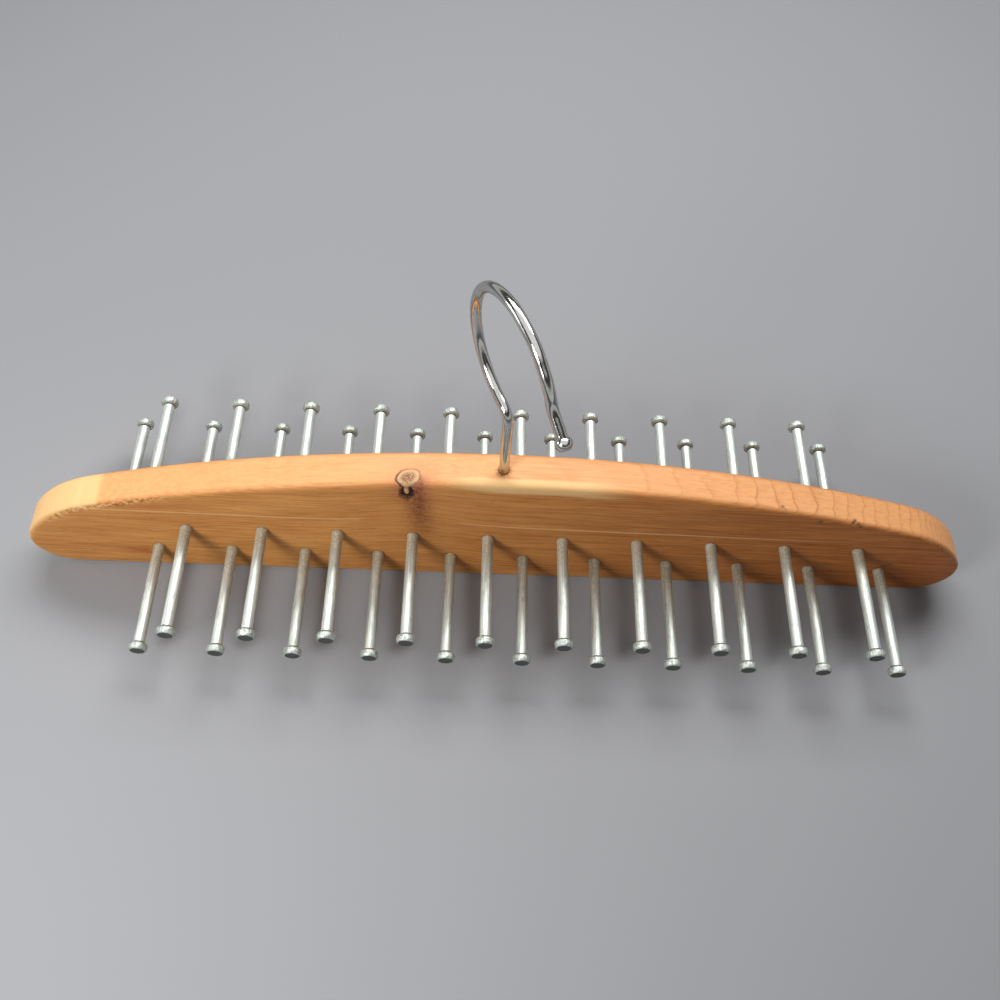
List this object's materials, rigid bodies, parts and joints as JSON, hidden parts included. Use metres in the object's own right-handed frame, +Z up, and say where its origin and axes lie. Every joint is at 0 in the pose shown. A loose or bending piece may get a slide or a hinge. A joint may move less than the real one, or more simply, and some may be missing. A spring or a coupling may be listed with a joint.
{
  "type": "tie hanger",
  "caption": "Arched cedar board with two rows of headed steel pegs on each face for neckties and a swivelling wire hook in its top edge.",
  "frame": {"origin": "middle of the flat bottom edge of the board, halfway between its two faces", "axes": "+X along the board to the right as seen from the front, +Y through the board to the back, +Z up along the hook's shank"},
  "size_m": [0.442, 0.1226, 0.1887],
  "materials": {
    "cedar": "planed and sanded, unfinished, softly rounded edges",
    "plated_steel": "bright nickel plating, smooth",
    "chrome_wire": "polished chrome plating",
    "bright_steel": "plain bright steel"
  },
  "bodies": {
    "board": {"board": "cedar", "hook_retaining_pin": "bright_steel", "front_lower_peg_01": "plated_steel", "front_lower_peg_02": "plated_steel", "front_lower_peg_03": "plated_steel", "front_lower_peg_04": "plated_steel", "front_lower_peg_05": "plated_steel", "front_lower_peg_06": "plated_steel", "front_lower_peg_07": "plated_steel", "front_lower_peg_08": "plated_steel", "front_lower_peg_09": "plated_steel", "front_lower_peg_10": "plated_steel", "front_lower_peg_11": "plated_steel", "front_upper_peg_01": "plated_steel", "front_upper_peg_02": "plated_steel", "front_upper_peg_03": "plated_steel", "front_upper_peg_04": "plated_steel", "front_upper_peg_05": "plated_steel", "front_upper_peg_06": "plated_steel", "front_upper_peg_07": "plated_steel", "front_upper_peg_08": "plated_steel", "front_upper_peg_09": "plated_steel", "front_upper_peg_10": "plated_steel", "back_lower_peg_01": "plated_steel", "back_lower_peg_02": "plated_steel", "back_lower_peg_03": "plated_steel", "back_lower_peg_04": "plated_steel", "back_lower_peg_05": "plated_steel", "back_lower_peg_06": "plated_steel", "back_lower_peg_07": "plated_steel", "back_lower_peg_08": "plated_steel", "back_lower_peg_09": "plated_steel", "back_lower_peg_10": "plated_steel", "back_lower_peg_11": "plated_steel", "back_upper_peg_01": "plated_steel", "back_upper_peg_02": "plated_steel", "back_upper_peg_03": "plated_steel", "back_upper_peg_04": "plated_steel", "back_upper_peg_05": "plated_steel", "back_upper_peg_06": "plated_steel", "back_upper_peg_07": "plated_steel", "back_upper_peg_08": "plated_steel", "back_upper_peg_09": "plated_steel", "back_upper_peg_10": "plated_steel"},
    "hook": {"hook": "chrome_wire"}
  },
  "joints": [
    {"name": "hook_swivel", "type": "hinge", "parent": "board", "child": "hook", "pos_m": [-0.0009, 0, 0.0865], "axis": [0, 0, 1], "continuous": true}
  ]
}
